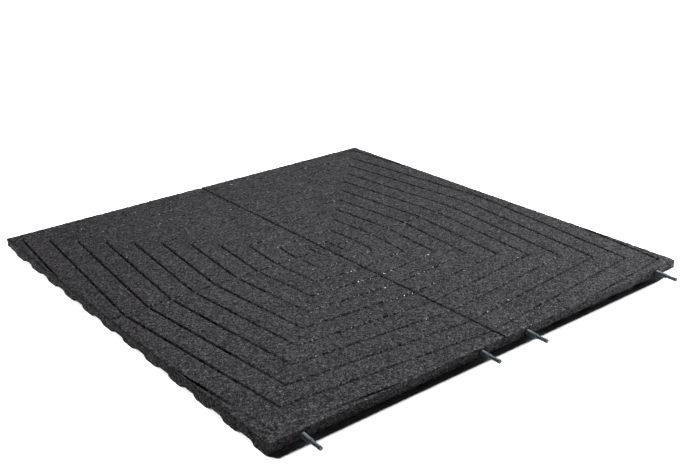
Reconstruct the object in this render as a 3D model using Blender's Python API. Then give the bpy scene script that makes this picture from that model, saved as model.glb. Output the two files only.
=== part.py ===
"""Rubber safety tile, 1 m square, moulded from bonded rubber granulate.

The top carries a web of narrow grooves: eight-sided rings round a small divided square,
and a cross that runs from edge to edge. The underside stands on a grid of low round feet,
so water drains between them. Four double-ended pins sit in holes along the front side,
and four matching sockets in the back side take the pins of the next tile.

Units are metres and +Z is up. The origin lies on the floor, at the middle of the
bounding box, so half the length of pin that stands out moves the tile along +Y.
"""
import math

import bmesh
import bpy
from mathutils import Matrix, Vector

# Tile
TILE_SIDE = 1.000
SLAB_THICKNESS = 0.018
FOOT_HEIGHT = 0.007
EDGE_CHAMFER = 0.0015

# Feet: round studs on a square grid, counted from the front and left sides. They are cut
# level with the tile's sides, but along the front the slab stands out over them.
FOOT_COUNT = 12
FOOT_PITCH = 0.0825
FIRST_FOOT = 0.022
FOOT_TOP_RADIUS = 0.032
FOOT_FLOOR_RADIUS = 0.027
FOOT_ROOT = 0.0035
FOOT_SIDES = 12
FRONT_SETBACK = 0.005

# Web of grooves in the top
GROOVE_WIDTH = 0.0055
GROOVE_FLOOR_WIDTH = 0.0025
GROOVE_DEPTH = 0.0035
RING_COUNT = 11
FIRST_RING = 0.0257
RING_PITCH_AT_CORNER = 0.0450
RING_PITCH_AT_CROSS = 0.0495
RING_BREAK = 0.0060

# Connecting pins and their holes
PIN_SPACING_INNER = 0.114
PIN_SPACING_OUTER = 0.876
PIN_DEPTH_BELOW_TOP = 0.0110
PIN_REACH = 0.045
PIN_PUSHED_IN = 0.004
PIN_COLLAR_RADIUS = 0.0056
PIN_COLLAR_HALF_WIDTH = 0.0020
PIN_FLARE_RADIUS = 0.0052
PIN_BODY_RADIUS = 0.0043
PIN_BODY_REACH = 0.0200
PIN_RIDGE_RADIUS = 0.0047
PIN_RIDGE_WIDTH = 0.0020
PIN_NECK_RADIUS = 0.0036
PIN_BEAD_RADIUS = 0.0040
PIN_BEAD_LENGTH = 0.0060
PIN_BEAD_STEP = 0.0008
PIN_TIP_BEVEL = 0.0006
HOLE_RADIUS = 0.0059
HOLE_DEPTH = 0.0520
ROUND_SIDES = 16
PIN_SHARP_ANGLE = math.radians(30)

# Worked out from the sizes above
OVERRUN = 0.010
HALF = TILE_SIDE / 2
TOP = SLAB_THICKNESS + FOOT_HEIGHT
CENTRE_Y = PIN_REACH / 2
FRONT_Y = CENTRE_Y - HALF
BACK_Y = CENTRE_Y + HALF
PIN_Z = TOP - PIN_DEPTH_BELOW_TOP
PIN_XS = (-PIN_SPACING_OUTER / 2, -PIN_SPACING_INNER / 2, PIN_SPACING_INNER / 2, PIN_SPACING_OUTER / 2)
PUSHED_IN_PIN = 2


def clear_scene():
    for obj in list(bpy.data.objects):
        bpy.data.objects.remove(obj, do_unlink=True)


def make_material(name, color, roughness):
    material = bpy.data.materials.new(name)
    material.use_nodes = True
    shader = material.node_tree.nodes["Principled BSDF"]
    shader.inputs["Base Color"].default_value = (*color, 1.0)
    shader.inputs["Roughness"].default_value = roughness
    shader.inputs["Metallic"].default_value = 0.0
    return material


def make_object(name, bm, material=None):
    bmesh.ops.recalc_face_normals(bm, faces=bm.faces)
    mesh = bpy.data.meshes.new(name)
    bm.to_mesh(mesh)
    bm.free()
    if material is not None:
        mesh.materials.append(material)
    obj = bpy.data.objects.new(name, mesh)
    bpy.context.collection.objects.link(obj)
    return obj


def make_guide(name, bm):
    """A shape that only cuts or joins another: never rendered, drawn as wire."""
    guide = make_object(name, bm)
    guide.hide_render = True
    guide.display_type = "WIRE"
    return guide


def add_boolean(obj, guide, operation):
    modifier = obj.modifiers.new(guide.name, "BOOLEAN")
    modifier.operation = operation
    modifier.solver = "EXACT"
    modifier.object = guide


def add_box(bm, low, high):
    """Adds a box between two corners."""
    size = Vector(high) - Vector(low)
    middle = (Vector(high) + Vector(low)) / 2
    matrix = Matrix.Translation(middle) @ Matrix.Diagonal((*size, 1.0))
    bmesh.ops.create_cube(bm, size=1.0, matrix=matrix)


def add_tube(bm, rings):
    """Skins rings of vertices with quads and closes both ends."""
    for near, far in zip(rings, rings[1:]):
        for i in range(len(near)):
            j = (i + 1) % len(near)
            bm.faces.new((near[i], near[j], far[j], far[i]))
    bm.faces.new(rings[0])
    bm.faces.new(reversed(rings[-1]))


def rough_block():
    """The slab before its sides and top are trimmed."""
    bm = bmesh.new()
    reach = HALF + OVERRUN
    add_box(bm, (-reach, CENTRE_Y - reach, FOOT_HEIGHT), (reach, CENTRE_Y + reach, TOP + OVERRUN))
    return bm


def foot_centres():
    for row in range(FOOT_COUNT):
        for column in range(FOOT_COUNT):
            x = -HALF + FIRST_FOOT + column * FOOT_PITCH
            y = FRONT_Y + FIRST_FOOT + row * FOOT_PITCH
            yield x, y


def feet():
    """Tapered round studs that reach a little way up into the slab."""
    bm = bmesh.new()
    height = FOOT_HEIGHT + FOOT_ROOT
    top_radius = FOOT_FLOOR_RADIUS + (FOOT_TOP_RADIUS - FOOT_FLOOR_RADIUS) * height / FOOT_HEIGHT
    for x, y in foot_centres():
        bmesh.ops.create_cone(
            bm, cap_ends=True, cap_tris=False, segments=FOOT_SIDES,
            radius1=FOOT_FLOOR_RADIUS, radius2=top_radius, depth=height,
            matrix=Matrix.Translation((x, y, height / 2)))
    return bm


def envelope():
    """The outline that trims the block: square sides, with small chamfers round the top."""
    bm = bmesh.new()
    add_box(bm, (-HALF, FRONT_Y, -OVERRUN), (HALF, BACK_Y, TOP))
    edges = [edge for edge in bm.edges if max(vert.co.z for vert in edge.verts) > 0]
    bmesh.ops.bevel(bm, geom=edges, offset=EDGE_CHAMFER, segments=1, affect="EDGES")
    return bm


def front_undercut():
    """The strip under the front edge of the slab that the feet stay out of."""
    bm = bmesh.new()
    reach = HALF + OVERRUN
    add_box(bm, (-reach, FRONT_Y - OVERRUN, -OVERRUN), (reach, FRONT_Y + FRONT_SETBACK, FOOT_HEIGHT))
    return bm


def channel(bm, path):
    """A closed cutter that follows a path over the top, narrower at the groove's floor."""
    spread = (GROOVE_WIDTH - GROOVE_FLOOR_WIDTH) / 2
    open_half_width = GROOVE_WIDTH / 2 + spread
    section = (
        (-open_half_width, TOP + GROOVE_DEPTH),
        (-GROOVE_FLOOR_WIDTH / 2, TOP - GROOVE_DEPTH),
        (GROOVE_FLOOR_WIDTH / 2, TOP - GROOVE_DEPTH),
        (open_half_width, TOP + GROOVE_DEPTH))
    points = [Vector(point) for point in path]
    rings = []
    for i, point in enumerate(points):
        before = (point - points[i - 1]).normalized() if i > 0 else None
        after = (points[i + 1] - point).normalized() if i < len(points) - 1 else None
        along = ((before or after) + (after or before)).normalized()
        across = Vector((-along.y, along.x))
        stretch = 1 / along.dot(after or before)
        rings.append([
            bm.verts.new((*(point + across * side * stretch + Vector((0, CENTRE_Y))), z))
            for side, z in section])
    add_tube(bm, rings)


def ring_grooves():
    """Eight-sided rings, each cut as four corners with a short break beside the cross."""
    bm = bmesh.new()
    for ring in range(RING_COUNT):
        corner = FIRST_RING + ring * RING_PITCH_AT_CORNER
        middle = FIRST_RING + ring * RING_PITCH_AT_CROSS
        for side_x in (-1, 1):
            for side_y in (-1, 1):
                start_x = RING_BREAK if side_x > 0 else 0
                start_y = RING_BREAK if side_y < 0 else 0
                channel(bm, (
                    (side_x * start_x, side_y * middle),
                    (side_x * corner, side_y * corner),
                    (side_x * middle, side_y * start_y)))
    return bm


def cross_groove(along_x):
    """One straight groove of the cross, from edge to edge."""
    bm = bmesh.new()
    reach = HALF + OVERRUN
    if along_x:
        channel(bm, ((-reach, 0), (reach, 0)))
    else:
        channel(bm, ((0, -reach), (0, reach)))
    return bm


def pin_holes():
    """Round holes for the pins in the front side and for the next tile's pins in the back."""
    bm = bmesh.new()
    lie_along_y = Matrix.Rotation(math.radians(90), 4, "X")
    length = HOLE_DEPTH + OVERRUN
    for x in PIN_XS:
        for y in (FRONT_Y + HOLE_DEPTH - length / 2, BACK_Y - HOLE_DEPTH + length / 2):
            bmesh.ops.create_cone(
                bm, cap_ends=True, cap_tris=False, segments=ROUND_SIDES,
                radius1=HOLE_RADIUS, radius2=HOLE_RADIUS, depth=length,
                matrix=Matrix.Translation((x, y, PIN_Z)) @ lie_along_y)
    return bm


def make_tile(material):
    tile = make_object("rubber_tile", rough_block(), material)
    add_boolean(tile, make_guide("feet_guide", feet()), "UNION")
    add_boolean(tile, make_guide("envelope_guide", envelope()), "INTERSECT")
    add_boolean(tile, make_guide("front_undercut_cutter", front_undercut()), "DIFFERENCE")
    add_boolean(tile, make_guide("ring_grooves_cutter", ring_grooves()), "DIFFERENCE")
    add_boolean(tile, make_guide("cross_groove_x_cutter", cross_groove(True)), "DIFFERENCE")
    add_boolean(tile, make_guide("cross_groove_y_cutter", cross_groove(False)), "DIFFERENCE")
    add_boolean(tile, make_guide("pin_holes_cutter", pin_holes()), "DIFFERENCE")


def pin_half_profile():
    """Radius against distance from the pin's middle: collar, cone, ridge, neck and blunt bead."""
    ridge_end = PIN_BODY_REACH + PIN_RIDGE_WIDTH
    bead_start = PIN_REACH - PIN_BEAD_LENGTH
    return (
        (PIN_COLLAR_RADIUS, PIN_COLLAR_HALF_WIDTH),
        (PIN_FLARE_RADIUS, PIN_COLLAR_HALF_WIDTH),
        (PIN_BODY_RADIUS, PIN_BODY_REACH),
        (PIN_RIDGE_RADIUS, PIN_BODY_REACH),
        (PIN_RIDGE_RADIUS, ridge_end),
        (PIN_NECK_RADIUS, ridge_end),
        (PIN_NECK_RADIUS, bead_start - PIN_BEAD_STEP),
        (PIN_BEAD_RADIUS, bead_start),
        (PIN_BEAD_RADIUS, PIN_REACH - PIN_TIP_BEVEL),
        (PIN_BEAD_RADIUS - PIN_TIP_BEVEL, PIN_REACH))


def pin_mesh(material):
    """A turned pin that lies along Y, the same at both ends."""
    half = pin_half_profile()
    profile = [(radius, -along) for radius, along in reversed(half)] + list(half)
    bm = bmesh.new()
    rings = []
    for radius, along in profile:
        ring = []
        for i in range(ROUND_SIDES):
            angle = 2 * math.pi * i / ROUND_SIDES
            ring.append(bm.verts.new((radius * math.cos(angle), along, radius * math.sin(angle))))
        rings.append(ring)
    add_tube(bm, rings)
    bmesh.ops.recalc_face_normals(bm, faces=bm.faces)
    mesh = bpy.data.meshes.new("connecting_pin")
    bm.to_mesh(mesh)
    bm.free()
    mesh.materials.append(material)
    mesh.shade_smooth()
    mesh.set_sharp_from_angle(angle=PIN_SHARP_ANGLE)
    return mesh


def make_pins(material):
    mesh = pin_mesh(material)
    for number, x in enumerate(PIN_XS, start=1):
        pin = bpy.data.objects.new(f"connecting_pin_{number}", mesh)
        pushed_in = PIN_PUSHED_IN if number == PUSHED_IN_PIN else 0
        pin.location = (x, FRONT_Y + pushed_in, PIN_Z)
        bpy.context.collection.objects.link(pin)


def main():
    clear_scene()
    make_tile(make_material("granulate_rubber", (0.045, 0.044, 0.048), 0.85))
    make_pins(make_material("pin_plastic", (0.22, 0.25, 0.27), 0.45))


main()
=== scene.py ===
"""Looks of the rubber safety tile: granulate skin, moulded pins, floor, light and camera.

The tile's skin is made in four quarters that meet in the middle of the cross grooves, so
that each mesh can carry the relief of the granulate. Each quarter is one closed surface.
A quarter is worked out in its own coordinates: across and along are distances from the
two lines of the cross, both growing towards the tile's outer corner.
"""
import math

import bpy
import numpy as np
from mathutils import Matrix, Vector


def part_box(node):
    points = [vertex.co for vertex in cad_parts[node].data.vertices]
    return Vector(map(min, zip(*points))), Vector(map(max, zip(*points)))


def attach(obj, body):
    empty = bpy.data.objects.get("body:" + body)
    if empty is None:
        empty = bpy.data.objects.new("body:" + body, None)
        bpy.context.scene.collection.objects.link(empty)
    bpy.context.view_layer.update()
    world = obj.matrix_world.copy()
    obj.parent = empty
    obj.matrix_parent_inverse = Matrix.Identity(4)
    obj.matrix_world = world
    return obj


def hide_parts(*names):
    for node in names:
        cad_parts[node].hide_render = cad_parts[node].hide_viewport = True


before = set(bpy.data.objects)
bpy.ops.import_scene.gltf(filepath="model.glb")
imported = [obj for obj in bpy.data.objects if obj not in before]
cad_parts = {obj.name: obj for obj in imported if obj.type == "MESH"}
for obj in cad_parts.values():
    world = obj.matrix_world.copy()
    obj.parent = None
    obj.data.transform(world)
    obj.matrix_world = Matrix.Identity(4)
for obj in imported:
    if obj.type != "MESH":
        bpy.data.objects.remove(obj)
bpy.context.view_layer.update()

# The tile, as the frame gives it
TILE_LOW, TILE_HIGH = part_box("rubber_tile")
HALF = (TILE_HIGH.x - TILE_LOW.x) / 2
CENTRE_Y = (TILE_LOW.y + TILE_HIGH.y) / 2
TOP = TILE_HIGH.z
PIN_NODES = sorted(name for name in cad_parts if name.startswith("connecting_pin"))

# Web of grooves in the top
GROOVE_WIDTH = 0.0055
GROOVE_FLOOR_WIDTH = 0.0025
GROOVE_DEPTH = 0.0035
RING_COUNT = 11
FIRST_RING = 0.0257
RING_PITCH = 0.0450
RING_BULGE = 0.1
RING_BREAK = 0.0060
BREAK_BLEND = 0.0012
WOBBLE = 0.0005
WOBBLE_SIZE = 0.004

# Where grooves get shallower: near the tile's edge, and towards the front left corner
EDGE_CLEARANCE = 0.0015
EDGE_FADE = 0.0050
FAINT_REACH = 0.14
FAINT_BLEND = 0.05
FAINT_SHARE = 0.6
LEG_REACH = 0.20
LEG_SHARE = 0.45

# Feet under the slab, counted from the front and left sides
FOOT_COUNT = 12
FOOT_PITCH = 0.0825
FIRST_FOOT = 0.022
FOOT_HEIGHT = 0.007
FOOT_TOP_RADIUS = 0.032
FOOT_FLOOR_RADIUS = 0.027
FRONT_SETBACK = (0.0034, 0.0066)

# Pin holes in the front side and sockets in the back side
PIN_HEIGHT = (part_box(PIN_NODES[0])[0].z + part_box(PIN_NODES[0])[1].z) / 2
HOLE_PLACES = sorted({
    round(abs((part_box(node)[0].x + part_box(node)[1].x) / 2), 4) for node in PIN_NODES})
HOLE_SIDES = 32
HOLE_RADIUS = 0.0059
HOLE_DEPTH = 0.052
HOLE_RIM = 0.0003
RIM_RAGGEDNESS = (0.8, 0.4)
HOLE_CLEARANCE = 0.0072

# Relief of the bonded granulate
GRANULE = 0.0031
GRANULE_RELIEF = 0.00035
GRANULE_SINK = 0.00030
PIT_SHARE = 0.035
PIT_DEPTH = 0.0011
GROOVE_SMOOTHING = 0.4
UNDERSIDE_RELIEF = 0.6
UNDERSIDE_PRESSED = 0.0001
EDGE_WEAR = 0.0009
EDGE_WEAR_SIZE = 0.006
EDGE_WEAR_FADE = 0.002

# Factors, mask and shifts of the hash that makes the random patterns
HASH_FACTORS = (374761393, 668265263, 974634777)
HASH_MIXER = 1274126177
HASH_MASK = 0xFFFFFFFF
HASH_SHIFTS = (13, 16)

# Seeds of the random patterns
TOP_SEED = 1
RIM_SEED = 5
WEAR_SEED = 7
WOBBLE_SEED = 11
JITTER_SEED = 21
SIDE_SEED = 31
UNDERSIDE_SEED = 41

# Grid of the skin
LINE_SPACING = 0.0020
LEAST_SPACING = 0.0008
JITTER = 0.0004
EDGE_ROUND = 0.0015
UNDERSIDE_LINES = 136
UNDERSIDE_MARGIN = 0.0032
SKIN_SHARP_ANGLE = math.radians(65)
EDGE_TOLERANCE = 1e-7
TINY = 1e-9
MICROMETRES = 1e6
TENTHS_OF_MILLIMETRES = 1e4


def hashed(i, j, seed):
    """A repeatable number from 0 to 1 for each pair of whole numbers."""
    mixed = (i * HASH_FACTORS[0] + j * HASH_FACTORS[1] + seed * HASH_FACTORS[2]) & HASH_MASK
    mixed = ((mixed ^ (mixed >> HASH_SHIFTS[0])) * HASH_MIXER) & HASH_MASK
    return (mixed ^ (mixed >> HASH_SHIFTS[1])) / HASH_MASK


def granules(a, b, size, seed):
    """Distance to the nearest granule's centre, in granule sizes, and that granule's own number."""
    column = np.floor(a / size).astype(np.int64)
    row = np.floor(b / size).astype(np.int64)
    nearest = np.full(a.shape, np.inf)
    own = np.zeros(a.shape)
    for step_a in (-1, 0, 1):
        for step_b in (-1, 0, 1):
            i = column + step_a
            j = row + step_b
            centre_a = (i + hashed(i, j, seed)) * size
            centre_b = (j + hashed(i, j, seed + 1)) * size
            distance = np.hypot(a - centre_a, b - centre_b) / size
            closer = distance < nearest
            nearest = np.where(closer, distance, nearest)
            own = np.where(closer, hashed(i, j, seed + 2), own)
    return nearest, own


def eased(share):
    """A share from 0 to 1 that starts and ends gently."""
    return share * share * (3 - 2 * share)


def waves(a, b, size, seed):
    """Smooth random waves from -1 to 1."""
    i = np.floor(a / size).astype(np.int64)
    j = np.floor(b / size).astype(np.int64)
    s = eased(a / size - i)
    t = eased(b / size - j)
    near = hashed(i, j, seed) * (1 - s) + hashed(i + 1, j, seed) * s
    far = hashed(i, j + 1, seed) * (1 - s) + hashed(i + 1, j + 1, seed) * s
    return (near * (1 - t) + far * t) * 2 - 1


def relief(a, b, seed):
    """Depth of the granulate below its outer face: rounded granules, some sunk, some missing."""
    nearest, own = granules(a, b, GRANULE, seed)
    missing = hashed(np.floor(own * MICROMETRES).astype(np.int64), np.int64(1), seed) < PIT_SHARE
    depth = GRANULE_RELIEF * np.minimum(nearest, 1) ** 2 * 2 + GRANULE_SINK * own ** 2
    return depth + PIT_DEPTH * missing


def groove_profile(distance, wobble):
    """Share of the full depth at a distance from a groove's middle line."""
    slope = (GROOVE_WIDTH - GROOVE_FLOOR_WIDTH) / 2
    return np.clip((GROOVE_WIDTH / 2 + wobble - np.abs(distance)) / slope, 0, 1)


def grooves(across, along, x, y, side_x, side_y):
    """Share of the groove depth at points of a quarter, for the rings and the cross.

    Rings fade out where they run off the tile, and the outermost is faint at the front left corner.
    The legs along the left side get shallower towards that corner.
    """
    wobble = waves(x, y, WOBBLE_SIZE, WOBBLE_SEED) * WOBBLE
    share = np.maximum(groove_profile(across, wobble), groove_profile(along, wobble))
    outer = np.maximum(across, along)
    inner = np.minimum(across, along)
    broken = np.where(across > along, side_y < 0, side_x > 0)
    start = np.where(broken, RING_BREAK, -BREAK_BLEND)
    leg = np.clip((inner - start) / BREAK_BLEND + 1, 0, 1)
    for ring in range(RING_COUNT):
        corner = FIRST_RING + ring * RING_PITCH
        bulge = np.clip(1 - inner / corner, 0, 1) * RING_BULGE * (corner - FIRST_RING)
        pressed = leg * np.clip((HALF - EDGE_CLEARANCE - outer) / EDGE_FADE, 0, 1)
        if side_x < 0 and side_y < 0:
            if ring == RING_COUNT - 1:
                faint = np.clip((inner - corner + FAINT_REACH) / FAINT_BLEND, 0, 1)
                pressed = pressed * (1 - FAINT_SHARE * faint)
            end = np.clip((inner - corner) / LEG_REACH + 1, 0, 1) * (across > along)
            pressed = pressed * (1 - LEG_SHARE * end)
        share = np.maximum(share, groove_profile(outer - corner - bulge, wobble) * pressed)
    return share


def grid_lines():
    """Distances of the skin's grid lines from the cross: on each groove's edges, and evenly between."""
    edge, foot = GROOVE_WIDTH / 2, GROOVE_FLOOR_WIDTH / 2
    keys = [0.0, foot, edge]
    for ring in range(RING_COUNT):
        middle = FIRST_RING + ring * RING_PITCH
        keys.extend(middle + offset for offset in (-edge, -foot, foot, edge))
    keys.append(HALF - EDGE_ROUND)
    lines = [keys[0]]
    for start, end in zip(keys, keys[1:]):
        steps = 1 if end - start < GROOVE_WIDTH else max(1, round((end - start) / LINE_SPACING))
        lines.extend(start + (end - start) * step / steps for step in range(1, steps + 1))
    return np.array(lines)


def follow_web(line, other):
    """Moves a grid line outwards where the rings bulge towards the cross, but never off the tile."""
    share = np.clip(1 - other / np.maximum(line, TINY), 0, 1)
    moved = line + share * RING_BULGE * np.maximum(line - FIRST_RING, 0)
    room = (line.shape[0] - 1 - np.arange(line.shape[0])) * LEAST_SPACING
    return np.minimum(moved, HALF - EDGE_ROUND - room[:, None])


def foot_distance(x, y):
    """Distance from the middle of the nearest foot, and the way from it in x and y."""
    column = np.clip(np.round((x + HALF - FIRST_FOOT) / FOOT_PITCH), 0, FOOT_COUNT - 1)
    row = np.clip(np.round((y - CENTRE_Y + HALF - FIRST_FOOT) / FOOT_PITCH), 0, FOOT_COUNT - 1)
    from_x = x - (-HALF + FIRST_FOOT + column * FOOT_PITCH)
    from_y = y - (CENTRE_Y - HALF + FIRST_FOOT + row * FOOT_PITCH)
    return np.hypot(from_x, from_y), from_x, from_y


def underside_height(x, y):
    """Height of the underside above the floor: nothing on the feet, the slab's height between them."""
    distance = foot_distance(x, y)[0]
    rise = np.clip((distance - FOOT_FLOOR_RADIUS) / (FOOT_TOP_RADIUS - FOOT_FLOOR_RADIUS), 0, 1)
    height = FOOT_HEIGHT * (rise + eased(rise)) / 2
    from_front = y - CENTRE_Y + HALF
    start, end = FRONT_SETBACK
    present = np.clip((from_front - start) / (end - start), 0, 1)
    return FOOT_HEIGHT - (FOOT_HEIGHT - height) * present


class Quarter:
    """One quarter of the skin, gathered as points and as triangles of several kinds."""

    def __init__(self, side_x, side_y):
        """An empty quarter; each side is -1 or 1 and says where it lies from the middle."""
        self.side_x = side_x
        self.side_y = side_y
        self.points = []
        self.recess_and_shade = []
        self.count = 0
        self.kinds = []

    def world(self, across, along):
        """The tile's own x and y for distances from the cross."""
        return self.side_x * across, CENTRE_Y + self.side_y * along

    def add_points(self, across, along, height, recess_and_shade):
        """Adds points and returns their numbers in the shape they came in."""
        self.points.append(np.stack([across.ravel(), along.ravel(), height.ravel()], axis=1))
        self.recess_and_shade.append(recess_and_shade.ravel())
        numbers = self.count + np.arange(across.size).reshape(across.shape)
        self.count += across.size
        return numbers

    def add_triangles(self, kind, triangles):
        """Adds triangles of point numbers; their kind says where they lie on the map."""
        self.kinds.append((kind, np.asarray(triangles, dtype=np.int64).reshape(-1, 3)))

    def all_points(self):
        """Every point so far, as rows of across, along and height."""
        return np.concatenate(self.points)


def grid_triangles(numbers, height):
    """Two triangles for each cell, split along the diagonal that is more level."""
    a, b = numbers[:-1, :-1], numbers[1:, :-1]
    c, d = numbers[1:, 1:], numbers[:-1, 1:]
    level = np.abs(height[a] - height[c]) <= np.abs(height[b] - height[d])
    first = np.where(level[..., None], np.stack([a, b, c], -1), np.stack([a, b, d], -1))
    second = np.where(level[..., None], np.stack([a, c, d], -1), np.stack([b, c, d], -1))
    return np.concatenate([first.reshape(-1, 3), second.reshape(-1, 3)])


def zip_loops(outer, inner, outer_angles, inner_angles):
    """Triangles between two loops that run the same way round, matched by their angles."""
    outer = np.roll(outer, -int(np.argmin(outer_angles)))
    inner = np.roll(inner, -int(np.argmin(inner_angles)))
    outer_angles = np.append(np.sort(outer_angles), np.inf)
    inner_angles = np.append(np.sort(inner_angles), np.inf)
    triangles = []
    i = j = 0
    while i < len(outer) or j < len(inner):
        here, there = outer[i % len(outer)], inner[j % len(inner)]
        next_outer = outer_angles[i + 1] if i + 1 < len(outer) else 2 * math.pi + outer_angles[0]
        next_inner = inner_angles[j + 1] if j + 1 < len(inner) else 2 * math.pi + inner_angles[0]
        if j == len(inner) or (i < len(outer) and next_outer <= next_inner):
            i += 1
            triangles.append((here, outer[i % len(outer)], there))
        else:
            j += 1
            triangles.append((here, inner[j % len(inner)], there))
    return triangles


def turn_angles(a, b, middle_a, middle_b):
    """Angles of points round a middle, from nothing to a full turn."""
    return np.mod(np.arctan2(b - middle_b, a - middle_a), 2 * math.pi)


def add_top(quarter):
    """The walking surface, from the cross to the rounded top edges."""
    lines = grid_lines()
    line_a, line_b = np.meshgrid(lines, lines, indexing="ij")
    across = follow_web(line_a, line_b)
    along = follow_web(line_b.T, line_a.T).T
    x, y = quarter.world(across, along)
    share = grooves(across, along, x, y, quarter.side_x, quarter.side_y)
    depth = relief(x, y, TOP_SEED)
    to_edge = HALF - EDGE_ROUND - np.maximum(across, along)
    patches = 0.5 + 0.5 * waves(x, y, EDGE_WEAR_SIZE, WEAR_SEED)
    worn = EDGE_WEAR * patches * np.exp(-to_edge / EDGE_WEAR_FADE)
    height = TOP - GROOVE_DEPTH * share - depth * (1 - GROOVE_SMOOTHING * share) - worn
    inside = np.zeros(across.shape)
    inside[1:-1, 1:-1] = JITTER
    key = (np.round(x * MICROMETRES).astype(np.int64), np.round(y * MICROMETRES).astype(np.int64))
    across = across + (hashed(*key, JITTER_SEED) - 0.5) * 2 * inside
    along = along + (hashed(*key, JITTER_SEED + 1) - 0.5) * 2 * inside
    # Painted shade: the depth of grooves and granulate pits darkens the colour and reflection in the
    # material
    recess_and_shade = share + depth / GROOVE_DEPTH
    numbers = quarter.add_points(across, along, height, recess_and_shade)
    quarter.add_triangles("top", grid_triangles(numbers, height.ravel()))
    return numbers


def boundary(numbers):
    """The grid's outline as one loop, anticlockwise seen from above in the quarter's coordinates."""
    return np.concatenate([numbers[:-1, 0], numbers[-1, :-1], numbers[:0:-1, -1], numbers[0, :0:-1]])


# Rows of the sides from the top edge down: how far out of the top's outline, and the height.
# The shades add painted shade to the depth value that darkens the colour: on the right and
# left sides all over, and in a line under their top edge that fades out towards the front.
EDGE_ROWS = ((EDGE_ROUND * 0.7, TOP - EDGE_ROUND * 0.3), (EDGE_ROUND, TOP - EDGE_ROUND))
WALL_HEIGHTS = (0.0215, 0.0195, 0.0175, 0.0155, 0.0135, 0.0115, 0.0095, 0.0074)
HOLE_FIRST_ROW = len(EDGE_ROWS) + 1
HOLE_LAST_ROW = len(EDGE_ROWS) + len(WALL_HEIGHTS)
FOOT_ROWS = 3
LOWER_EDGE_ROUND = 0.0006
LEAST_DROP = 0.00025
HEIGHT_OFFSET = 0.5
EDGE_LINE_SHADE = 1.0
EDGE_LINE_REACH = 0.30
EDGE_LINE_STEPS = (1, 2)
FLANK_SHADE = 1.0
CORNER_SHARE = 0.72
EDGE_KIND_MARGIN = 0.4


def side_rows(quarter, top_numbers):
    """The four sides as rows of points round the quarter; the two along the cross stay flat."""
    loop = boundary(top_numbers)
    start = quarter.all_points()[loop]
    across, along, height = start.T
    edge = HALF - EDGE_ROUND - EDGE_TOLERANCE
    out_a = (across >= edge).astype(float)
    out_b = (along >= edge).astype(float)
    corner = (out_a * out_b) > 0
    out_a[corner] = CORNER_SHARE
    out_b[corner] = CORNER_SHARE
    x, y = quarter.world(across + out_a * EDGE_ROUND, along + out_b * EDGE_ROUND)
    floor = underside_height(x, y)
    run = np.where(out_a > 0, y, x)
    outside = np.maximum(out_a, out_b)
    places = []
    for out, level in EDGE_ROWS + tuple((EDGE_ROUND, level) for level in WALL_HEIGHTS):
        height = np.minimum(level, height - LEAST_DROP)
        places.append((out, height))
    for step in range(1, FOOT_ROWS + 1):
        out = EDGE_ROUND - LOWER_EDGE_ROUND * (step == FOOT_ROWS)
        places.append((out, height + (floor - height) * step / FOOT_ROWS))
    rows = [loop]
    for step, (out, level) in enumerate(places):
        rows.append(side_row(quarter, across, along, level, out_a * out, out_b * out, run, outside, step))
    return rows


def side_row(quarter, across, along, height, out_a, out_b, run, outside, step):
    """One row of a side, pushed in by the granulate's relief."""
    depth = relief(run, height + HEIGHT_OFFSET, SIDE_SEED) * outside
    reach = np.hypot(out_a, out_b)
    pull = depth / np.maximum(reach, TINY) * (step > 0)
    flank = out_a > 0
    line = np.clip(1 + quarter.side_y * along / EDGE_LINE_REACH, 0, 1) * flank * (step in EDGE_LINE_STEPS)
    # Painted shade: darker in the side's pits, in a line under the top edge, and on the right and left
    # sides
    shade = depth / GROOVE_DEPTH + EDGE_LINE_SHADE * line + FLANK_SHADE * flank
    return quarter.add_points(across + out_a * (1 - pull), along + out_b * (1 - pull), height, shade)


def side_kind(quarter, triangles):
    """Names each side triangle by the side that it lies on."""
    points = quarter.all_points()[triangles].mean(axis=1)
    edge = HALF - EDGE_ROUND * (1 + EDGE_KIND_MARGIN)
    return np.where(points[:, 1] > edge, "far", np.where(points[:, 0] > edge, "flank", "cross"))


def add_sides(quarter, rows):
    """Skins the rows, and puts a hole in each gap left for one."""
    hole_columns = [hole_span(quarter, rows[0], middle) for middle in HOLE_PLACES]
    for step, (upper, lower) in enumerate(zip(rows, rows[1:])):
        keep = np.ones(len(upper), bool)
        if HOLE_FIRST_ROW <= step < HOLE_LAST_ROW:
            for first, last in hole_columns:
                keep[first:last] = False
        a, b = upper, np.roll(upper, -1)
        c, d = np.roll(lower, -1), lower
        triangles = np.concatenate([np.stack([a, d, c], 1)[keep], np.stack([a, c, b], 1)[keep]])
        kinds = side_kind(quarter, triangles)
        for kind in ("far", "flank", "cross"):
            quarter.add_triangles(kind, triangles[kinds == kind])
    for middle, (first, last) in zip(HOLE_PLACES, hole_columns):
        add_hole(quarter, rows, middle, first, last)


def hole_span(quarter, loop, middle):
    """First and last column of the far side's points that leave room for a hole."""
    points = quarter.all_points()[loop]
    far = points[:, 1] >= HALF - EDGE_ROUND - EDGE_TOLERANCE
    near = far & (np.abs(points[:, 0] - middle) < HOLE_CLEARANCE)
    columns = np.flatnonzero(near)
    return columns[0] - 1, columns[-1] + 1


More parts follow.
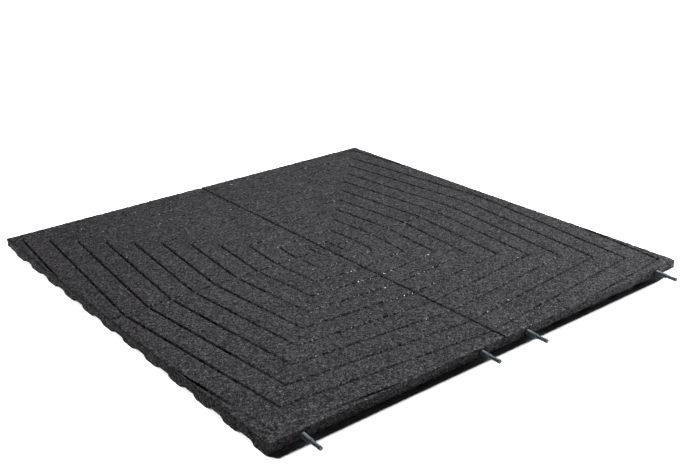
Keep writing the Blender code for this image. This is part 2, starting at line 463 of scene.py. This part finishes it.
def add_hole(quarter, rows, middle, first, last):
    """A round hole with a soft rim and a closed end, zipped into the gap left in the far side."""
    upper, lower = rows[HOLE_FIRST_ROW], rows[HOLE_LAST_ROW]
    left = [row[first] for row in rows[HOLE_FIRST_ROW + 1:HOLE_LAST_ROW]]
    right = [row[last] for row in rows[HOLE_FIRST_ROW + 1:HOLE_LAST_ROW]]
    frame_loop = np.array([*upper[first:last + 1], *right, *lower[first:last + 1][::-1], *left[::-1]])
    points = quarter.all_points()[frame_loop]
    frame_angles = turn_angles(-points[:, 0], points[:, 2], -middle, PIN_HEIGHT)
    if np.mean(np.diff(np.unwrap(frame_angles))) < 0:
        frame_loop, frame_angles = frame_loop[::-1], frame_angles[::-1]
    turns = 2 * math.pi * np.arange(HOLE_SIDES) / HOLE_SIDES
    own_number = np.int64(middle * TENTHS_OF_MILLIMETRES)
    least, spread = RIM_RAGGEDNESS
    rim = HOLE_RIM * (least + spread * hashed(np.arange(HOLE_SIDES), own_number, RIM_SEED))
    sections = (
        (HOLE_RADIUS + rim, 0.0),
        (HOLE_RADIUS, HOLE_RIM),
        (HOLE_RADIUS, HOLE_DEPTH / 2),
        (HOLE_RADIUS, HOLE_DEPTH))
    # The hole's points get the full depth value: painted shade darkens its rim and inside
    rings = []
    for radius, depth in sections:
        rings.append(quarter.add_points(
            middle - radius * np.cos(turns), HALF - depth + 0 * turns,
            PIN_HEIGHT + radius * np.sin(turns), np.ones(HOLE_SIDES)))
    quarter.add_triangles("far", zip_loops(frame_loop, rings[0], frame_angles, turns))
    for near, deep in zip(rings, rings[1:]):
        a, b = near, np.roll(near, -1)
        c, d = np.roll(deep, -1), deep
        quarter.add_triangles("bore", np.concatenate([np.stack([a, b, c], 1), np.stack([a, c, d], 1)]))
    end = quarter.add_points(
        np.array([middle]), np.array([HALF - HOLE_DEPTH]), np.array([PIN_HEIGHT]), np.array([1.0]))
    fan = [(rings[-1][i], rings[-1][(i + 1) % HOLE_SIDES], end[0]) for i in range(HOLE_SIDES)]
    quarter.add_triangles("bore", fan)


def add_underside(quarter, outline):
    """The underside: a coarser grid whose lines bend round the feet, zipped to the sides."""
    lines = np.linspace(UNDERSIDE_MARGIN, HALF - UNDERSIDE_MARGIN, UNDERSIDE_LINES)
    across, along = np.meshgrid(lines, lines, indexing="ij")
    x, y = quarter.world(across, along)
    distance, from_x, from_y = foot_distance(x, y)
    reach = (FOOT_TOP_RADIUS - FOOT_FLOOR_RADIUS) / 2
    target = distance.copy()
    for radius in (FOOT_FLOOR_RADIUS, FOOT_TOP_RADIUS):
        target = np.where(np.abs(distance - radius) < reach, radius, target)
    target[:2], target[-2:], target[:, :2], target[:, -2:] = (
        distance[:2], distance[-2:], distance[:, :2], distance[:, -2:])
    stretch = target / np.maximum(distance, TINY) - 1
    x, y = x + from_x * stretch, y + from_y * stretch
    across, along = x * quarter.side_x, (y - CENTRE_Y) * quarter.side_y
    depth = relief(x, y, UNDERSIDE_SEED) * UNDERSIDE_RELIEF
    height = underside_height(x, y) + np.maximum(depth - UNDERSIDE_PRESSED, 0)
    # Painted shade: the underside's granulate pits darken the colour by their depth
    numbers = quarter.add_points(across, along, height, depth / GROOVE_DEPTH)
    points = quarter.all_points()
    quarter.add_triangles("underside", grid_triangles(numbers, points[:, 2])[:, ::-1])
    inner = boundary(numbers)
    middle = HALF / 2
    outer_angles = turn_angles(points[outline, 0], points[outline, 1], middle, middle)
    inner_angles = turn_angles(points[inner, 0], points[inner, 1], middle, middle)
    zipped = np.array(zip_loops(outline, inner, outer_angles, inner_angles))
    quarter.add_triangles("underside", zipped[:, ::-1])


# Where each kind of face lies on the map that carries the finish to other programs
TOP_SHARE = 0.72
UNDERSIDE_MARGIN_ON_MAP = 0.015
STRIP_MARGIN = 0.02
STRIP_PITCH = 0.055
BORE_SPREAD = (0.3, 0.5)


def map_places(kind, points):
    """Flat map places of corners, from their distances across and along and their height."""
    across, along, height = points[..., 0], points[..., 1], points[..., 2]
    scale = TOP_SHARE / HALF
    if kind == "top":
        return np.stack([across * scale, along * scale], -1)
    if kind == "underside":
        small = (1 - TOP_SHARE - STRIP_MARGIN) / HALF
        return np.stack([TOP_SHARE + UNDERSIDE_MARGIN_ON_MAP + across * small, along * small], -1)
    strip = ("far", "flank", "cross", "bore").index(kind)
    run = across if kind == "far" else along
    if kind == "cross":
        run = across + along
    if kind == "bore":
        run = along * BORE_SPREAD[1] + across * BORE_SPREAD[0]
    depth = TOP - height + (HALF - (along if kind == "far" else across)) * (kind in ("far", "flank"))
    return np.stack([run * scale, TOP_SHARE + STRIP_MARGIN + strip * STRIP_PITCH + depth * scale], -1)


def build_quarter(name, side_x, side_y):
    """Builds one quarter of the tile's skin as a closed mesh object."""
    quarter = Quarter(side_x, side_y)
    rows = side_rows(quarter, add_top(quarter))
    add_sides(quarter, rows)
    add_underside(quarter, rows[-1])
    local = quarter.all_points()
    x, y = quarter.world(local[:, 0], local[:, 1])
    places = np.stack([x, y, local[:, 2]], axis=1)
    triangles = np.concatenate([triangles for _, triangles in quarter.kinds])
    on_map = np.concatenate([map_places(kind, local[triangles]) for kind, triangles in quarter.kinds])
    if side_x * side_y < 0:
        triangles, on_map = triangles[:, ::-1], on_map[:, ::-1]
    mesh = bpy.data.meshes.new(name)
    mesh.from_pydata(places.tolist(), [], triangles.tolist())
    mesh.uv_layers.new(name="OFBake").data.foreach_set("uv", on_map.astype(np.float32).ravel())
    mesh.attributes.new("recess_and_shade", "FLOAT", "POINT").data.foreach_set(
        "value", np.concatenate(quarter.recess_and_shade).astype(np.float32))
    mesh.shade_smooth()
    mesh.set_sharp_from_angle(angle=SKIN_SHARP_ANGLE)
    obj = bpy.data.objects.new(name, mesh)
    bpy.context.scene.collection.objects.link(obj)
    return obj


# Connecting pins, turned about their own middle: the same at both ends
PIN_SIDES = 40
PIN_COLLAR_RADIUS = 0.0056
PIN_COLLAR_HALF_WIDTH = 0.0020
PIN_FLARE_RADIUS = 0.0052
PIN_BODY_RADIUS = 0.0043
PIN_BODY_REACH = 0.0200
PIN_RIDGE_RADIUS = 0.0047
PIN_RIDGE_WIDTH = 0.0020
PIN_NECK_RADIUS = 0.0036
PIN_BEAD_RADIUS = 0.0040
PIN_BEAD_LENGTH = 0.0060
PIN_BEAD_STEP = 0.0008
PIN_TIP_BEVEL = 0.0006
PIN_ROUND = 0.00025
MOULD_LINE = 0.00012
PIN_SHARP_ANGLE = math.radians(40)
PIN_DARK_TIP_START = 0.039
PIN_DARK_TIP_BLEND = 0.005
MOST_CHAMFER = 0.33


def softened(profile, soft):
    """Cuts each corner of a profile by a short chamfer."""
    result = [profile[0]]
    for before, here, after in zip(profile, profile[1:], profile[2:]):
        for other in (before, after):
            share = min(soft / math.dist(here, other), MOST_CHAMFER)
            result.append(tuple(h + (o - h) * share for h, o in zip(here, other)))
    result.append(profile[-1])
    return result


def pin_profile():
    """Radius against distance from the pin's middle: collar, cone, ridge, neck and blunt bead."""
    reach = (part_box(PIN_NODES[0])[1].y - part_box(PIN_NODES[0])[0].y) / 2
    ridge_end = PIN_BODY_REACH + PIN_RIDGE_WIDTH
    bead_start = reach - PIN_BEAD_LENGTH
    return softened([
        (PIN_COLLAR_RADIUS, 0.0),
        (PIN_COLLAR_RADIUS, PIN_COLLAR_HALF_WIDTH),
        (PIN_FLARE_RADIUS, PIN_COLLAR_HALF_WIDTH),
        (PIN_BODY_RADIUS, PIN_BODY_REACH),
        (PIN_RIDGE_RADIUS, PIN_BODY_REACH),
        (PIN_RIDGE_RADIUS, ridge_end),
        (PIN_NECK_RADIUS, ridge_end),
        (PIN_NECK_RADIUS, bead_start - PIN_BEAD_STEP),
        (PIN_BEAD_RADIUS, bead_start),
        (PIN_BEAD_RADIUS, reach - PIN_TIP_BEVEL),
        (PIN_BEAD_RADIUS - PIN_TIP_BEVEL, reach)], PIN_ROUND)


def build_pin(node):
    """A moulded pin in the place of its node, with a fine line where the mould halves met."""
    low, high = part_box(node)
    middle = (low + high) / 2
    half = pin_profile()
    profile = [(radius, -along) for radius, along in reversed(half[1:])] + half
    turns = 2 * math.pi * np.arange(PIN_SIDES) / PIN_SIDES
    line = MOULD_LINE * (np.arange(PIN_SIDES) % (PIN_SIDES // 2) == 0)
    vertices, faces = [], []
    for radius, along in profile:
        for turn, proud in zip(turns, line):
            reach = radius - MOULD_LINE + proud
            x = middle.x + reach * math.cos(turn)
            z = middle.z + reach * math.sin(turn)
            vertices.append((x, middle.y + along, z))
    for ring in range(len(profile) - 1):
        for side in range(PIN_SIDES):
            a = ring * PIN_SIDES + side
            b = ring * PIN_SIDES + (side + 1) % PIN_SIDES
            faces.append((a + PIN_SIDES, b + PIN_SIDES, b, a))
    faces.append(tuple(range(PIN_SIDES)))
    faces.append(tuple(range(len(vertices) - PIN_SIDES, len(vertices)))[::-1])
    mesh = bpy.data.meshes.new("moulded_" + node)
    mesh.from_pydata(vertices, [], faces)
    mesh.shade_smooth()
    mesh.set_sharp_from_angle(angle=PIN_SHARP_ANGLE)
    obj = bpy.data.objects.new("moulded_" + node, mesh)
    bpy.context.scene.collection.objects.link(obj)
    return obj


# Numbers of the Mix node's sockets that carry colours: its share, two inputs and output
MIX_SHARE = 0
MIX_FIRST = 6
MIX_SECOND = 7
MIX_RESULT = 2


class Shader:
    """A material's node tree, with short calls for adding and linking nodes."""

    def __init__(self, name):
        """A new material with nothing but its surface shader."""
        self.material = bpy.data.materials.new(name)
        self.material.use_nodes = True
        self.tree = self.material.node_tree
        self.surface = self.tree.nodes["Principled BSDF"]

    def node(self, kind, **settings):
        """Adds a node with the given settings."""
        node = self.tree.nodes.new(kind)
        for name, value in settings.items():
            setattr(node, name, value)
        return node

    def link(self, source, target):
        """Links an output to an input."""
        self.tree.links.new(source, target)

    def put(self, value, socket):
        """Sets a socket to a number or colour, or links it to another node's output."""
        if isinstance(value, bpy.types.NodeSocket):
            self.link(value, socket)
        else:
            socket.default_value = value

    def math(self, operation, first, second, clamp=False):
        """The result of an operation on two values."""
        node = self.node("ShaderNodeMath", operation=operation, use_clamp=clamp)
        self.put(first, node.inputs[0])
        self.put(second, node.inputs[1])
        return node.outputs[0]

    def mapped(self, value, low, high, to_low, to_high):
        """Maps the range from low to high onto the range from to_low to to_high, and stays inside it."""
        node = self.node("ShaderNodeMapRange", clamp=True)
        for number, entry in enumerate((value, low, high, to_low, to_high)):
            self.put(entry, node.inputs[number])
        return node.outputs[0]

    def mixed(self, share, first, second):
        """A colour between the first, at share 0, and the second, at share 1."""
        node = self.node("ShaderNodeMix", data_type="RGBA")
        self.put(share, node.inputs[MIX_SHARE])
        self.put(first, node.inputs[MIX_FIRST])
        self.put(second, node.inputs[MIX_SECOND])
        return node.outputs[MIX_RESULT]

    def ramp(self, value, stops):
        """A colour for a value, from stops of place and colour."""
        node = self.node("ShaderNodeValToRGB")
        elements = node.color_ramp.elements
        while len(elements) < len(stops):
            elements.new(0.5)
        for element, (place, color) in zip(elements, stops):
            element.position = place
            element.color = (*color, 1.0)
        self.link(value, node.inputs[0])
        return node.outputs[0]

    def voronoi(self, place, size, feature="F1"):
        """A pattern of random cells about as large as the size."""
        node = self.node("ShaderNodeTexVoronoi", feature=feature)
        self.link(place, node.inputs["Vector"])
        node.inputs["Scale"].default_value = 1 / size
        return node

    def channels(self, cells):
        """Three random numbers that are the same all over each of a pattern's cells."""
        node = self.node("ShaderNodeSeparateColor")
        self.link(cells.outputs["Color"], node.inputs[0])
        return tuple(node.outputs)

    def distance(self, place, middle):
        """Distance from a fixed point."""
        node = self.node("ShaderNodeVectorMath", operation="DISTANCE")
        self.link(place, node.inputs[0])
        node.inputs[1].default_value = middle
        return node.outputs["Value"]

    def noise(self, place, size, detail):
        """Smooth random values that change over about the size."""
        node = self.node("ShaderNodeTexNoise")
        self.link(place, node.inputs["Vector"])
        node.inputs["Scale"].default_value = 1 / size
        node.inputs["Detail"].default_value = detail
        return node.outputs[0]

    def bump(self, height, distance, strength, below=None):
        """A normal tilted by a height, on top of another bump if one is given."""
        node = self.node("ShaderNodeBump")
        node.inputs["Strength"].default_value = strength
        node.inputs["Distance"].default_value = distance
        self.link(height, node.inputs["Height"])
        if below is not None:
            self.link(below, node.inputs["Normal"])
        return node.outputs[0]


# Sizes in the granulate's finish
GRAIN_SIZE = 0.0033
FINE_GRAIN_SIZE = 0.0019
CLUMP_SIZE = 0.007
CLOUD_SIZE = 0.11
GRIT_SIZE = 0.0006

# Colours of the granulate, by tone from the darkest spots to the palest
GRANULE_COLORS = (
    (0.02, (0.0003, 0.00025, 0.0004)),
    (0.35, (0.0017, 0.00141, 0.0021)),
    (0.68, (0.0053, 0.0044, 0.0063)),
    (0.96, (0.0190, 0.0158, 0.0222)))
FLECK_COLOR = (0.055, 0.051, 0.058, 1.0)
# Colour that painted shade mixes in: in gaps, grooves, holes and on the side faces
PAINTED_SHADE_COLOR = (0.0008, 0.0007, 0.0009, 1.0)

# Middle and reach of the patch in which the binder on the groove walls glints
GLINT_PLACE = (0.03, -0.08, TOP)
GLINT_REACH = (0.16, 0.34)
GLINT_STRENGTH = 0.24
GLINT_SMOOTHNESS = 0.42


def granulate_tone(s, place, grain_tone, fine_tone):
    """How pale each spot is: by granule, by clump and by broad cloudiness."""
    tone = s.math("ADD", s.math("MULTIPLY", grain_tone, 0.65), s.math("MULTIPLY", fine_tone, 0.75))
    tone = s.math("SUBTRACT", tone, 0.20)
    for size, strength in ((CLUMP_SIZE, 0.45), (CLOUD_SIZE, 0.25)):
        uneven = s.math("SUBTRACT", s.noise(place, size, detail=3.0), 0.5)
        tone = s.math("ADD", tone, s.math("MULTIPLY", uneven, strength))
    return tone


def add_granulate_color(s, tone, shade, fleck):
    """Mixed dark greys with a few pale flecks, and painted shade: near black in gaps and deep in grooves.
    """
    color = s.ramp(tone, GRANULE_COLORS)
    color = s.mixed(s.mapped(fleck, 0.965, 0.975, 0.0, 0.75), color, FLECK_COLOR)
    color = s.mixed(shade, PAINTED_SHADE_COLOR, color)
    s.link(color, s.surface.inputs["Base Color"])


def glinting_wall(s, place, recess_and_shade):
    """The slanted walls of the grooves, within the patch where they glint."""
    wall = s.math("MULTIPLY", s.mapped(recess_and_shade, 0.25, 0.4, 0.0, 1.0), s.mapped(recess_and_shade, 0.95, 1.15, 1.0, 0.0))
    return s.math("MULTIPLY", wall, s.mapped(s.distance(place, GLINT_PLACE), *GLINT_REACH, 1.0, 0.0))


def add_granulate_gloss(s, tone, shade, wall, grain_gloss, fine_gloss):
    """Dull granules, a few of them glossier; pale spots and the binder on the groove walls shine more."""
    glossy_grains = s.mapped(fine_gloss, 0.93, 0.97, 0.0, 0.8)
    glossy_wall = s.math("MULTIPLY", wall, s.mapped(fine_gloss, 0.80, 0.86, 0.0, 1.0))
    shiny = s.math("ADD", glossy_grains, glossy_wall, clamp=True)
    dull = s.mapped(grain_gloss, 0.0, 1.0, 0.90, 0.60)
    rough = s.math("SUBTRACT", dull, s.math("MULTIPLY", shiny, GLINT_SMOOTHNESS))
    s.link(rough, s.surface.inputs["Roughness"])
    glint = s.math("MULTIPLY", wall, s.math("MULTIPLY", shiny, GLINT_STRENGTH))
    sheen = s.math("ADD", s.mapped(tone, 0.15, 0.85, 0.09, 0.37), glint)
    # Painted shade also lowers the reflection, where it darkens the colour
    s.link(s.math("MULTIPLY", shade, sheen), s.surface.inputs["Specular IOR Level"])


def add_granulate_bump(s, place, grain):
    """Domed granules with a fine grit on them."""
    dome = s.mapped(grain.outputs["Distance"], 0.0, 0.75, 1.0, 0.0)
    coarse = s.bump(dome, distance=0.0006, strength=0.9)
    grit = s.noise(place, GRIT_SIZE, detail=3.0)
    s.link(s.bump(grit, distance=0.0002, strength=0.6, below=coarse), s.surface.inputs["Normal"])


def granulate_rubber():
    """Black granules of several sizes in clear binder."""
    s = Shader("granulate_rubber")
    place = s.node("ShaderNodeTexCoord").outputs["Object"]
    recess_and_shade = s.node("ShaderNodeAttribute", attribute_name="recess_and_shade").outputs["Fac"]
    grain = s.voronoi(place, GRAIN_SIZE)
    gap = s.voronoi(place, GRAIN_SIZE, "DISTANCE_TO_EDGE")
    grain_tone, fleck, grain_gloss = s.channels(grain)
    fine_tone, fine_gloss = s.channels(s.voronoi(place, FINE_GRAIN_SIZE))[:2]
    tone = granulate_tone(s, place, grain_tone, fine_tone)
    # Painted shade: darker in the gaps between granules, and by the depth value of grooves, pits, holes and
    # sides
    crevice = s.mapped(gap.outputs["Distance"], 0.00, 0.09, 0.25, 1.0)
    shade = s.math("MULTIPLY", crevice, s.mapped(recess_and_shade, 0.10, 1.6, 1.0, 0.35))
    add_granulate_color(s, tone, shade, fleck)
    add_granulate_gloss(s, tone, shade, glinting_wall(s, place, recess_and_shade), grain_gloss, fine_gloss)
    add_granulate_bump(s, place, grain)
    return s.material


# Finish of the pins' plastic; the stretch draws its streaks out along the pin
STREAK_STRETCH = (1.0, 0.15, 1.0)
STREAK_SIZE = 0.0012
BLOTCH_SIZE = 0.006
SCUFF_SIZE = 0.0008
PLASTIC_COLORS = (
    (0.30, (0.014, 0.021, 0.025)),
    (0.50, (0.030, 0.041, 0.047)),
    (0.72, (0.056, 0.071, 0.078)))
PLASTIC_SPECULAR = 0.4
DARK_TIP_COLOR = (0.030, 0.034, 0.038, 1.0)


def flow_streaks(s, place):
    """Faint streaks along the pin, where the plastic flowed in the mould."""
    stretch = s.node("ShaderNodeMapping")
    stretch.inputs["Scale"].default_value = STREAK_STRETCH
    s.link(place, stretch.inputs["Vector"])
    return s.noise(stretch.outputs[0], STREAK_SIZE, detail=4.0)


def add_plastic_color(s, place, tone):
    """Uneven blue-grey, darker at the outer tip."""
    color = s.ramp(tone, PLASTIC_COLORS)
    position = s.node("ShaderNodeSeparateXYZ")
    s.link(place, position.inputs[0])
    # The outer tip is darker over its last few millimetres
    start = CENTRE_Y - HALF - PIN_DARK_TIP_START
    dark_tip = s.mapped(position.outputs["Y"], start, start - PIN_DARK_TIP_BLEND, 0.0, 0.85)
    s.link(s.mixed(dark_tip, color, DARK_TIP_COLOR), s.surface.inputs["Base Color"])


def pin_plastic():
    """Blue-grey moulded plastic with faint flow streaks and fine scuffs."""
    s = Shader("pin_plastic")
    place = s.node("ShaderNodeTexCoord").outputs["Object"]
    streak = flow_streaks(s, place)
    blotch = s.noise(place, BLOTCH_SIZE, detail=3.0)
    scuff = s.voronoi(place, SCUFF_SIZE)
    tone = s.math("ADD", s.math("MULTIPLY", streak, 0.6), s.math("MULTIPLY", blotch, 0.4))
    add_plastic_color(s, place, tone)
    s.link(s.mapped(tone, 0.3, 0.7, 0.66, 0.52), s.surface.inputs["Roughness"])
    s.surface.inputs["Specular IOR Level"].default_value = PLASTIC_SPECULAR
    fine = s.bump(scuff.outputs["Distance"], distance=0.00005, strength=0.35)
    s.link(s.bump(streak, distance=0.00008, strength=0.5, below=fine), s.surface.inputs["Normal"])
    return s.material


# The floor's half width, the size of its paper's tooth, and its finish
FLOOR_REACH = 60.0
TOOTH_SIZE = 0.004
PAPER_COLORS = (
    (0.3, (0.80, 0.80, 0.80)),
    (0.7, (0.83, 0.83, 0.83)))
PAPER_ROUGHNESS = 0.9
PAPER_SPECULAR = 0.1


def floor_paper():
    """Matt white studio paper with a barely visible tooth."""
    s = Shader("floor_paper")
    place = s.node("ShaderNodeTexCoord").outputs["Object"]
    tooth = s.noise(place, TOOTH_SIZE, detail=4.0)
    s.link(s.ramp(tooth, PAPER_COLORS), s.surface.inputs["Base Color"])
    s.surface.inputs["Roughness"].default_value = PAPER_ROUGHNESS
    s.surface.inputs["Specular IOR Level"].default_value = PAPER_SPECULAR
    return s.material


def add_floor():
    """A plain pale floor that fills the photograph's view; lower views see past its far end."""
    corners = [(side_x * FLOOR_REACH, side_y * FLOOR_REACH, 0.0)
               for side_x, side_y in ((-1, -1), (1, -1), (1, 1), (-1, 1))]
    mesh = bpy.data.meshes.new("studio_floor")
    mesh.from_pydata(corners, [], [(0, 1, 2, 3)])
    mesh.materials.append(floor_paper())
    floor = bpy.data.objects.new("studio_floor", mesh)
    bpy.context.scene.collection.objects.link(floor)
    return floor


FAR_LIGHT_DISTANCE = 5.0
WORLD_STRENGTH = 0.008


def away_from_tile(azimuth, elevation):
    """Direction from the tile to a light; azimuth 0 stands in front of the tile, 90 at its right."""
    turn, rise = math.radians(azimuth), math.radians(elevation)
    return Vector((math.sin(turn) * math.cos(rise), -math.cos(turn) * math.cos(rise), math.sin(rise)))


def add_light_object(name, data, away, distance, lit, shading=None):
    """Places a light that falls on the lit objects only; given a shading group, only that casts shadows."""
    light = bpy.data.objects.new(name, data)
    light.location = Vector((0.0, CENTRE_Y, 0.0)) + away * distance
    light.rotation_euler = away.to_track_quat("Z", "Y").to_euler()
    light.light_linking.receiver_collection = lit
    light.light_linking.blocker_collection = shading
    bpy.context.scene.collection.objects.link(light)


def light_group(name, objects):
    """A group of objects that a light falls on, or that shade it."""
    group = bpy.data.collections.new(name)
    for obj in objects:
        group.objects.link(obj)
    return group


def add_near_light(name, azimuth, elevation, distance, size, power, lit):
    """A soft square light that looks at the tile's middle."""
    data = bpy.data.lights.new(name, "AREA")
    data.shape = "SQUARE"
    data.size = size
    data.energy = power
    add_light_object(name, data, away_from_tile(azimuth, elevation), distance, lit)


def add_far_light(name, azimuth, elevation, spread, strength, lit, shading=None):
    """A far light whose rays come evenly from one direction, softened by its spread."""
    data = bpy.data.lights.new(name, "SUN")
    data.angle = math.radians(spread)
    data.energy = strength
    add_light_object(name, data, away_from_tile(azimuth, elevation), FAR_LIGHT_DISTANCE, lit, shading)


def add_light(pieces, floor):
    """Plain soft studio light from the right, the front right and above; the floor has its own."""
    world = bpy.data.worlds.new("studio")
    world.use_nodes = True
    background = world.node_tree.nodes["Background"]
    background.inputs["Color"].default_value = (1.0, 1.0, 1.0, 1.0)
    background.inputs["Strength"].default_value = WORLD_STRENGTH
    bpy.context.scene.world = world
    tile = light_group("lit_tile", pieces)
    add_far_light("far_light", azimuth=103, elevation=50, spread=20, strength=7.3, lit=tile)
    add_near_light("near_light", azimuth=36, elevation=13, distance=1.25, size=0.2, power=6.3, lit=tile)
    add_near_light(
        "front_side_light", azimuth=46, elevation=2.3, distance=1.35, size=0.1, power=4.2, lit=tile)
    add_near_light("top_light", azimuth=170, elevation=62, distance=1.0, size=0.4, power=7.4, lit=tile)
    paper = light_group("lit_floor", [floor])
    skin = light_group("shading_tile", [piece for piece in pieces if piece.name.startswith("tile_skin")])
    for name, azimuth, elevation, spread, strength in (
            ("floor_light_behind", 180, 66, 12, 4.5),
            ("floor_light_left", -140, 22, 6, 9.0),
            ("floor_light_right", 100, 10, 3, 23)):
        add_far_light(name, azimuth, elevation, spread, strength, lit=paper, shading=skin)


# The photograph's view of the tile
CAMERA_PLACE = (-1.1482, -1.4517, 0.8366)
CAMERA_AZIMUTH = math.radians(-36.61)
CAMERA_ELEVATION = math.radians(22.08)
CAMERA_ROLL = math.radians(-1.56)
FOCAL_PIXELS = 967.9
AXIS_PIXEL = (304.25, 225.07)
PHOTO_SIZE = (680, 464)
SENSOR_WIDTH = 36.0
VIEW_REACH = 200.0


def add_camera():
    """The camera, placed by the photograph's viewing angle; the shift frames the tile as it does."""
    azimuth, elevation, roll = CAMERA_AZIMUTH, CAMERA_ELEVATION, CAMERA_ROLL
    back = Vector((
        math.sin(azimuth) * math.cos(elevation),
        -math.cos(azimuth) * math.cos(elevation),
        math.sin(elevation)))
    level = Vector((math.cos(azimuth), math.sin(azimuth), 0.0))
    upright = back.cross(level)
    right = level * math.cos(roll) + upright * math.sin(roll)
    up = upright * math.cos(roll) - level * math.sin(roll)
    data = bpy.data.cameras.new("camera")
    data.sensor_fit = "HORIZONTAL"
    data.sensor_width = SENSOR_WIDTH
    data.lens = FOCAL_PIXELS / PHOTO_SIZE[0] * SENSOR_WIDTH
    data.shift_x = (PHOTO_SIZE[0] / 2 - AXIS_PIXEL[0]) / PHOTO_SIZE[0]
    data.shift_y = (AXIS_PIXEL[1] - PHOTO_SIZE[1] / 2) / PHOTO_SIZE[0]
    data.clip_end = VIEW_REACH
    camera = bpy.data.objects.new("camera", data)
    camera.matrix_world = Matrix.Translation(CAMERA_PLACE) @ Matrix((right, up, back)).transposed().to_4x4()
    bpy.context.scene.collection.objects.link(camera)
    bpy.context.scene.camera = camera


def add_tile():
    """The tile's skin: four closed quarters in place of the CAD solid."""
    material = granulate_rubber()
    pieces = []
    for name, side_x, side_y in (
            ("front_left", -1, -1), ("front_right", 1, -1), ("back_right", 1, 1), ("back_left", -1, 1)):
        quarter = build_quarter("tile_skin_" + name, side_x, side_y)
        quarter.data.materials.append(material)
        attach(quarter, "root")
        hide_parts("rubber_tile")
        pieces.append(quarter)
    return pieces


def add_pins():
    """A moulded pin in place of each pin of the CAD."""
    material = pin_plastic()
    pieces = []
    for node in PIN_NODES:
        pin = build_pin(node)
        pin.data.materials.append(material)
        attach(pin, "root")
        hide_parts(node)
        pieces.append(pin)
    return pieces


add_light(add_tile() + add_pins(), add_floor())
add_camera()
bpy.context.scene.view_settings.view_transform = "Standard"
